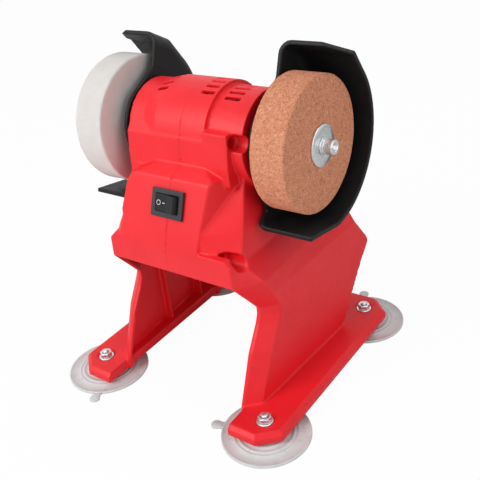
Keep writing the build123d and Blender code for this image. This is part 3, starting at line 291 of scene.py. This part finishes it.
def roughened(piece, layers):
    """Moves the surface in and out by layers of noise (size of a lump, height), in mm."""
    spots = []
    for vertex in piece.data.vertices:
        rise = sum(noise.noise(vertex.co / (size * mm)) * height for size, height in layers)
        spots.append(vertex.co + vertex.normal * rise * mm)
    for vertex, spot in zip(piece.data.vertices, spots):
        vertex.co = spot


def wheel_outline(radius, corner, worn=0.3):
    """Half the section of a wheel with broken corners, from its inner face to its outer one."""
    return [
        (wheel_start, bore_radius), (wheel_start, radius - corner),
        (wheel_start + worn, radius - worn), (wheel_start + corner, radius),
        (wheel_end - corner, radius), (wheel_end - worn, radius - worn),
        (wheel_end, radius - corner), (wheel_end, bore_radius),
    ]


axis_centre = (0, spindle_y, spindle_z)
wheel_start, wheel_end, bore_radius = 52.2, 72.8, 5.0
stone_radius, stone_corner = 37.5, 0.9
stone, tree, shader = start_finish("stone_wheel", tint(214, 142, 108), 0.92)
grain = tree.nodes.new("ShaderNodeTexVoronoi")
grain.inputs["Scale"].default_value = 1500
place = tree.nodes.new("ShaderNodeTexCoord")
tree.links.new(place.outputs["Object"], grain.inputs["Vector"])
grit = tree.nodes.new("ShaderNodeSeparateColor")
tree.links.new(grain.outputs["Color"], grit.inputs["Color"])
mixed = tree.nodes.new("ShaderNodeMix")
mixed.inputs["Factor"].default_value = 0.45
tree.links.new(grit.outputs["Red"], mixed.inputs["A"])
tree.links.new(clouds(tree, 420, 6).outputs["Fac"], mixed.inputs["B"])
shades(
    tree,
    mixed.outputs["Result"],
    (
        (0.14, tint(178, 104, 78)), (0.32, tint(211, 136, 103)), (0.58, tint(224, 152, 118)),
        (0.78, tint(232, 168, 136)), (0.93, tint(243, 206, 182)),
    ),
    shader.inputs["Base Color"],
)
coarse = relief(tree, shader, clouds(tree, 900, 5).outputs["Fac"], 0.35 * mm)
relief(tree, shader, grain.outputs["Distance"], 0.12 * mm, coarse)
shader.inputs["Specular IOR Level"].default_value = 0.2
stone_outline = filled_in(wheel_outline(stone_radius, stone_corner), 0.7)
wheel = ringed("grinding_wheel_stone", stone_outline, axis_centre, (1, 0, 0), steps=340)
roughened(wheel, ((1.1, 0.10), (3.5, 0.05)))
fit(wheel, stone, "rotor", "stone_wheel", "grinding_wheel")

# The felt wheel is pressed white wool, sawn from a thick block. Its corners are soft, its faces
# lie a little uneven, and loose fibres give it a dull bloom. It sits on the left hub.
felt_radius, felt_corner = 39.5, 1.0
felt, tree, shader = start_finish("felt", tint(228, 223, 220), 1.0)
shades(
    tree,
    clouds(tree, 150, 8).outputs["Fac"],
    ((0.3, tint(224, 219, 216)), (0.7, tint(230, 226, 223))),
    shader.inputs["Base Color"],
)
matted = relief(tree, shader, clouds(tree, 900, 8).outputs["Fac"], 0.22 * mm)
relief(tree, shader, clouds(tree, 3200, 4, (1, 0.35, 0.35)).outputs["Fac"], 0.08 * mm, matted)
shader.inputs["Sheen Weight"].default_value = 0.08
shader.inputs["Specular IOR Level"].default_value = 0.1
felt_outline = filled_in(wheel_outline(felt_radius, felt_corner), 1.0)
pad = ringed("felt_wheel_pad", felt_outline, axis_centre, (-1, 0, 0), steps=240)
roughened(pad, ((9.0, 0.16), (1.6, 0.07)))
fit(pad, felt, "rotor", "felt", "felt_wheel")


# Each wheel is clamped by a zinc plated stack: a large washer, a plain one, a split spring washer
# and a socket head cap screw into the hub sleeve. The screw's head is knurled round its rim.
def spun_finish(name, colour, roughness, centre, axis, lines=2600):
    """Bright metal with fine circular tool marks about an axis."""
    finish, tree, shader = start_finish(name, colour, roughness, 0.85)
    place = tree.nodes.new("ShaderNodeTexCoord")
    flat = tree.nodes.new("ShaderNodeVectorMath")
    flat.operation = "SUBTRACT"
    flat.inputs[1].default_value = Vector(centre) * mm
    tree.links.new(place.outputs["Object"], flat.inputs[0])
    across = tree.nodes.new("ShaderNodeVectorMath")
    across.operation = "MULTIPLY"
    across.inputs[1].default_value = [1 - abs(a) for a in axis]
    tree.links.new(flat.outputs["Vector"], across.inputs[0])
    reach = tree.nodes.new("ShaderNodeVectorMath")
    reach.operation = "LENGTH"
    tree.links.new(across.outputs["Vector"], reach.inputs[0])
    marks = tree.nodes.new("ShaderNodeTexNoise")
    marks.noise_dimensions = "1D"
    marks.inputs["Scale"].default_value = lines
    marks.inputs["Detail"].default_value = 3
    tree.links.new(reach.outputs["Value"], marks.inputs["W"])
    spread(tree, marks.outputs["Fac"], roughness - 0.08, roughness + 0.12, shader.inputs["Roughness"])
    ring_marks = relief(tree, shader, marks.outputs["Fac"], 0.015 * mm)
    blotches = clouds(tree, 500, 4)
    shades(
        tree,
        blotches.outputs["Fac"],
        ((0.3, tuple(c * 0.82 for c in colour)), (0.65, colour)),
        shader.inputs["Base Color"],
    )
    relief(tree, shader, blotches.outputs["Fac"], 0.02 * mm, ring_marks)
    return finish


def hexagon(flats):
    """A radius that follows a hexagon measured across its flats."""
    return lambda angle: flats / 2 / math.cos((angle + math.pi / 6) % (math.pi / 3) - math.pi / 6)


def knurl(angle):
    """The radius of the cap screw's head with its ridges."""
    return knurl_radius - knurl_depth * abs(math.sin(knurl_ridges / 2 * angle))


zinc = spun_finish("zinc_steel", tint(228, 230, 232), 0.24, axis_centre, (1, 0, 0))
big_start, plain_start, split_start, head_start, head_end = wheel_end, 74.2, 75.2, 76.4, 81.4
big_radius, plain_radius, split_radius, washer_bore = 11.6, 5.0, 4.6, 2.8
shank_start, shank_radius, socket_floor, socket = 60.4, 2.5, 78.4, hexagon(4.0)
knurl_radius, knurl_depth, knurl_ridges = 4.25, 0.16, 36
for side, side_name in ((-1, "left"), (1, "right")):
    way = (side, 0, 0)
    big = ringed(
        "big_washer_" + side_name,
        [
            (big_start, washer_bore), (big_start, big_radius - 0.1), (big_start + 0.15, big_radius),
            (plain_start - 0.2, big_radius), (plain_start, big_radius - 0.25),
            (plain_start, washer_bore + 0.2), (plain_start - 0.1, washer_bore),
        ],
        axis_centre, way,
    )
    plain = ringed(
        "plain_washer_" + side_name,
        [
            (plain_start, washer_bore), (plain_start, plain_radius), (split_start - 0.2, plain_radius),
            (split_start, plain_radius - 0.2), (split_start, washer_bore),
        ],
        axis_centre, way,
    )
    split = ringed(
        "spring_washer_" + side_name,
        [
            (split_start, washer_bore), (split_start, split_radius - 0.1),
            (split_start + 0.15, split_radius), (head_start - 0.2, split_radius),
            (head_start, split_radius - 0.2), (head_start, washer_bore),
        ],
        axis_centre, way,
    )
    head = ringed(
        "cap_screw_" + side_name,
        [
            (shank_start, 0), (shank_start, shank_radius - 0.3), (shank_start + 0.3, shank_radius),
            (head_start, shank_radius), (head_start, 3.9), (head_start + 0.2, 4.15),
            (head_start + 0.5, knurl), (head_end - 0.9, knurl), (head_end - 0.5, 4.1),
            (head_end - 0.1, 3.8), (head_end, 3.5), (head_end, 2.45), (head_end - 0.2, socket),
            (socket_floor + 0.4, socket), (socket_floor, 0),
        ],
        axis_centre, way, steps=144,
    )
    stack = (
        (big, "outer_washers"), (plain, "flat_washers"), (split, "spring_washers"), (head, "cap_screws"),
    )
    for piece, node in stack:
        fit(piece, zinc, "rotor", "zinc_steel")
        if side > 0:
            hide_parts(node)

# The suction feet are soft clear vinyl, cast in one with a raised ring, a thick rim and a pull
# tab. The neck holds the flange of the stud, and the rail sits on the neck.
vinyl, tree, shader = start_finish("cup_vinyl", tint(232, 234, 235), 0.28)
shader.inputs["Transmission Weight"].default_value = 0.1
shader.inputs["IOR"].default_value = 1.45
haze = clouds(tree, 180, 2)
spread(tree, haze.outputs["Fac"], 0.26, 0.34, shader.inputs["Roughness"])
shades(
    tree,
    haze.outputs["Fac"],
    ((0.3, tint(228, 231, 232)), (0.7, tint(236, 238, 239))),
    shader.inputs["Base Color"],
)
relief(tree, shader, clouds(tree, 160, 2).outputs["Fac"], 0.03 * mm)
foot_x, foot_y, cup_radius = 63.7, 61.9, 26.5
corners = (
    (-1, -1, "front_left", 297), (1, -1, "front_right", 196),
    (-1, 1, "rear_left", 16), (1, 1, "rear_right", 117),
)
cup_rings = [
    (1.35, 0), (1.05, 15.0), (0.35, 24.6), (0.0, 25.4), (0.0, 26.2), (0.25, cup_radius), (1.35, cup_radius),
    (1.75, 26.3), (1.8, 25.7), (1.45, 25.3), (1.6, 22.0), (1.75, 19.6), (2.15, 19.2), (2.2, 18.6),
    (1.9, 18.2), (2.0, 17.4), (2.5, 16.9), (2.6, 16.2), (2.15, 15.7), (2.25, 13.9), (2.8, 13.4),
    (2.9, 12.6), (2.5, 12.1), (2.75, 10.4), (3.5, 9.4), (4.2, 9.0), (4.2, 0),
]
tab_side, tab_centre, tab_radius = [(25.5, 3.1), (28.0, 2.6), (30.0, 3.0)], 31.0, 3.4
tab_levels = ((0.15, 0.25), (0.35, 0.0), (1.15, 0.0), (1.35, 0.25))
tab_line = [(x, -y) for x, y in tab_side]
for degrees in range(-80, 81, 16):
    angle = math.radians(degrees)
    tab_line.append((tab_centre + tab_radius * math.cos(angle), tab_radius * math.sin(angle)))
tab_line += tab_side[::-1]
for side, end, corner, tab_angle in corners:
    centre = (side * foot_x, end * foot_y, 0)
    cup = ringed("cup_" + corner, cup_rings, centre, (0, 0, 1), steps=128)
    out = Matrix.Rotation(math.radians(tab_angle), 4, "Z")
    form = bmesh.new()
    form.from_mesh(cup.data)
    levels = []
    for level, shrink in tab_levels:
        ring = []
        for x, y in tab_line:
            spot = Vector((x - shrink * (x > cup_radius), y * (1 - shrink / 4), level)) * mm
            ring.append(form.verts.new(Vector(centre) * mm + out @ spot))
        levels.append(ring)
    for low, high in zip(levels, levels[1:]):
        for index in range(len(tab_line)):
            after = (index + 1) % len(tab_line)
            form.faces.new((low[index], low[after], high[after], high[index]))
    form.faces.new(levels[0][::-1])
    form.faces.new(levels[-1])
    bmesh.ops.recalc_face_normals(form, faces=form.faces)
    form.to_mesh(cup.data)
    form.free()
    cup.data.shade_smooth()
    fit(cup, vinyl, "base", "cup_vinyl", "suction_cup_" + corner)


# A stud with rolled thread stands in each cup and comes up through the rail. A washer and a
# chamfered nut, both bright zinc, pull the rail down on the cup.
def nut_chamfer(angle):
    """The nut's hexagon with its points turned off."""
    return min(nut_sides(angle), nut_points)


nut_sides, nut_points = hexagon(7.0), 3.85
flange_start, flange_end, flange_radius = 2.6, 3.6, 5.5
stud_radius, stud_end, thread_depth = 2.0, 15.0, 0.22
washer_seat, nut_seat, nut_end, foot_washer_radius, foot_washer_bore = 9.8, 10.6, 13.8, 4.9, 2.15
thread = []
for index, tenths in enumerate(range(37, 146, 3)):
    thread.append((tenths * 0.1, stud_radius - thread_depth * (index % 2)))
for side, end, corner, _ in corners:
    centre = (side * foot_x, end * foot_y, 0)
    bright = spun_finish("foot_zinc_" + corner, tint(226, 228, 231), 0.28, centre, (0, 0, 1), 1800)
    stud = ringed(
        "foot_stud_" + corner,
        [
            (flange_start, 0), (flange_start, flange_radius), (flange_end, flange_radius),
            (flange_end, stud_radius), *thread, (stud_end - 0.1, stud_radius - 0.4), (stud_end, 0),
        ],
        centre, (0, 0, 1), steps=48,
    )
    washer = ringed(
        "foot_washer_" + corner,
        [
            (washer_seat, foot_washer_bore), (washer_seat, foot_washer_radius - 0.1),
            (washer_seat + 0.15, foot_washer_radius), (nut_seat - 0.15, foot_washer_radius),
            (nut_seat, foot_washer_radius - 0.15), (nut_seat, foot_washer_bore),
        ],
        centre, (0, 0, 1), steps=64,
    )
    nut = ringed(
        "foot_nut_" + corner,
        [
            (nut_seat, 2.1), (nut_seat, 3.45), (nut_seat + 0.35, nut_chamfer), (nut_seat + 0.5, nut_sides),
            (nut_end - 0.5, nut_sides), (nut_end - 0.3, nut_chamfer), (nut_end, 3.3), (nut_end, 2.5),
            (nut_end - 0.3, 2.1),
        ],
        centre, (0, 0, 1), steps=96,
    )
    for piece, node in ((stud, "foot_studs"), (washer, "foot_washers"), (nut, "foot_nuts")):
        fit(piece, bright, "base", "zinc_steel")
        if corner == "front_left":
            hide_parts(node)


# The rocker switch is a snap-in part: a satin black bezel and case with a duller rocker that tips
# on two pins. Its off mark is a ring and its on mark a short bar, both printed in white.
def bar_reach(angle):
    """A radius that follows the printed bar."""
    long_way = bar_half_length / max(abs(math.cos(angle)), bar_least)
    return min(long_way, bar_half_width / max(abs(math.sin(angle)), bar_least))


bezel_black = moulded_finish("switch_plastic", tint(40, 42, 44), tint(48, 50, 52), 0.36, 0)
rocker_black = moulded_finish("rocker_plastic", tint(26, 27, 29), tint(32, 33, 35), 0.34, 0)
rocker_black.node_tree.nodes["Principled BSDF"].inputs["Specular IOR Level"].default_value = 0.25
bezel = softened("switch_body", "switch_bezel", grain=0.22, passes=3, keep=0.6)
fit(bezel, bezel_black, "base", "switch_plastic", "switch_body")
rocker = softened("switch_rocker", "switch_rocker_cap", grain=0.2, passes=3, keep=0.6)
fit(rocker, rocker_black, "rocker", "switch_plastic", "switch_rocker")
print_white = moulded_finish("print_white", tint(214, 215, 214), tint(228, 229, 228), 0.55, 0)
print_height, ring_outer, ring_inner = 0.1, 1.5, 1.12
bar_half_length, bar_half_width, bar_least = 0.95, 0.24, 0.01
panel_out = Vector((0, -0.932772, 0.360459))
flush_half = Vector((0, -43.6867, 128.2350)) + panel_out * 1.62
off_place, on_place = flush_half - Vector((5.6, 0, 0)), flush_half - Vector((1.9, 0, 0))
off_mark = ringed(
    "off_mark",
    [(0, ring_outer), (print_height, ring_outer), (print_height, ring_inner), (0, ring_inner)],
    off_place, panel_out, steps=48,
)
on_mark = ringed(
    "on_mark", [(0, 0), (0, bar_reach), (print_height, bar_reach), (print_height, 0)],
    on_place, panel_out, steps=72,
)
for mark in (off_mark, on_mark):
    fit(mark, print_white, "rocker", "switch_plastic")

# Everything out of sight keeps its solid and gets the finish of its own stock: turned steel,
# plated sheet, ferrite, stacked core steel, enamelled copper, carbon, brass and insulated wire.
steel = spun_finish("machined_steel", tint(176, 178, 181), 0.3, axis_centre, (1, 0, 0))
plated = spun_finish("can_steel", tint(168, 170, 174), 0.35, axis_centre, (1, 0, 0), 900)
ferrite = moulded_finish("magnet_ferrite", tint(58, 58, 60), tint(70, 70, 72), 0.7, 0.03)
bell = moulded_finish("bell_plastic", tint(38, 38, 39), tint(46, 46, 47), 0.55)
core = spun_finish("core_steel", tint(110, 111, 116), 0.5, axis_centre, (1, 0, 0), 1200)
copper = spun_finish("winding_copper", tint(190, 98, 58), 0.35, axis_centre, (1, 0, 0), 1600)
carbon = moulded_finish("carbon", tint(38, 38, 40), tint(50, 50, 52), 0.8, 0.03)
brass = spun_finish("contact_brass", tint(214, 178, 96), 0.3, axis_centre, (1, 0, 0), 1600)
spring = spun_finish("spring_steel", tint(170, 172, 176), 0.3, axis_centre, (1, 0, 0))
sleeve_red = moulded_finish("lead_red", tint(190, 26, 26), tint(204, 34, 32), 0.45, 0)
sleeve_black = moulded_finish("lead_black", tint(26, 26, 27), tint(34, 34, 35), 0.45, 0)
kept = {
    steel: (
        "hub_left", "hub_right", "spindle", "bearing_left_outer_ring", "bearing_left_inner_ring",
        "bearing_left_balls", "bearing_left_cage", "bearing_right_outer_ring", "bearing_right_inner_ring",
        "bearing_right_balls", "bearing_right_cage",
    ),
    zinc: ("housing_screws", "guard_screws", "dock_screws", "hub_set_screws"),
    plated: ("motor_can",),
    ferrite: ("field_magnets",),
    bell: ("end_bell_left", "end_bell_right", "cooling_fan"),
    core: ("armature_core",),
    copper: ("armature_windings", "commutator"),
    carbon: ("carbon_brushes",),
    brass: ("brush_holders", "motor_terminals", "switch_terminals", "terminal_blades"),
    spring: ("brush_springs",),
    sleeve_red: ("lead_dock_switch", "lead_switch_motor"),
    sleeve_black: ("lead_dock_motor",),
}
for finish, names in kept.items():
    for name in names:
        for slot_of in nodes_of_frame[name].material_slots:
            slot_of.material = finish

# The floor is a plain white sheet lit from above, which the camera sees at almost full white. The
# room round it is white as well.
floor_half, floor_glow = 4, 0.97
floor_corners = [(x * floor_half, y * floor_half, 0) for x, y in ((-1, -1), (1, -1), (1, 1), (-1, 1))]
floor_mesh = bpy.data.meshes.new("floor")
floor_mesh.from_pydata(floor_corners, [], [(0, 1, 2, 3)])
floor = bpy.data.objects.new("floor", floor_mesh)
bpy.context.collection.objects.link(floor)
sheet, tree, shader = start_finish("floor_sheet", tint(244, 244, 244), 0.9)
shader.inputs["Specular IOR Level"].default_value = 0.1
shades(
    tree, clouds(tree, 3, 2).outputs["Fac"], ((0.3, tint(243, 243, 243)), (0.7, tint(246, 246, 246))),
    shader.inputs["Base Color"],
)
seen = tree.nodes.new("ShaderNodeLightPath")
glow = tree.nodes.new("ShaderNodeEmission")
glow.inputs["Color"].default_value = (1, 1, 1, 1)
blend = tree.nodes.new("ShaderNodeMixShader")
share = tree.nodes.new("ShaderNodeMath")
share.operation = "MULTIPLY"
share.inputs[1].default_value = floor_glow
tree.links.new(seen.outputs["Is Camera Ray"], share.inputs[0])
tree.links.new(share.outputs["Value"], blend.inputs["Fac"])
tree.links.new(shader.outputs["BSDF"], blend.inputs[1])
tree.links.new(glow.outputs["Emission"], blend.inputs[2])
tree.links.new(blend.outputs["Shader"], tree.nodes["Material Output"].inputs["Surface"])
floor_mesh.materials.append(sheet)

room_light, room_seen = 0.3, 1.0
room = bpy.data.worlds.new("room")
room.use_nodes = True
bpy.context.scene.world = room
tree = room.node_tree
back = tree.nodes["Background"]
back.inputs["Color"].default_value = (1, 1, 1, 1)
seen = tree.nodes.new("ShaderNodeLightPath")
either = tree.nodes.new("ShaderNodeMath")
either.operation = "MAXIMUM"
level = tree.nodes.new("ShaderNodeMapRange")
level.inputs["To Min"].default_value = room_light
level.inputs["To Max"].default_value = room_seen
tree.links.new(seen.outputs["Is Camera Ray"], either.inputs[0])
tree.links.new(seen.outputs["Is Glossy Ray"], either.inputs[1])
tree.links.new(either.outputs["Value"], level.inputs["Value"])
tree.links.new(level.outputs["Result"], back.inputs["Strength"])


def softbox(name, place, aim, size, power):
    """A square studio light that looks at a point."""
    data = bpy.data.lights.new(name, "AREA")
    data.size = size
    data.energy = power
    lamp = bpy.data.objects.new(name, data)
    bpy.context.collection.objects.link(lamp)
    lamp.location = place
    lamp.rotation_euler = (Vector(place) - Vector(aim)).to_track_quat("Z", "Y").to_euler()


softbox("key", (-0.4, -0.9, 0.8), (0, 0, 0.12), 0.6, 8.0)
softbox("top", (0.05, 0.15, 1.15), (0, 0, 0.1), 0.8, 2.0)
softbox("side", (0.95, -0.25, 0.45), (0, 0, 0.1), 0.6, 2.0)

# The camera stands to the right of the switch and above it, tipped a little. Its place, turn and
# lens were fitted to the photo.
azimuth, elevation, roll = (math.radians(degrees) for degrees in (38.85, 29.11, -7.33))
camera_aim, camera_distance = Vector((12.61, 0, 84.85)), 446
away = Vector((
    math.sin(azimuth) * math.cos(elevation),
    -math.cos(azimuth) * math.cos(elevation),
    math.sin(elevation),
))
level_right = Vector((math.cos(azimuth), math.sin(azimuth), 0))
level_up = away.cross(level_right)
right = level_right * math.cos(roll) + level_up * math.sin(roll)
up = level_up * math.cos(roll) - level_right * math.sin(roll)
camera_data = bpy.data.cameras.new("camera")
camera_data.sensor_width = 36
camera_data.lens = 54.08
camera_data.clip_start = 0.01
camera = bpy.data.objects.new("camera", camera_data)
bpy.context.collection.objects.link(camera)
turn = Matrix((right, up, away)).transposed().to_4x4()
camera.matrix_world = Matrix.Translation(camera_aim * mm + away * camera_distance * mm) @ turn
bpy.context.scene.camera = camera
bpy.context.scene.view_settings.view_transform = "Standard"
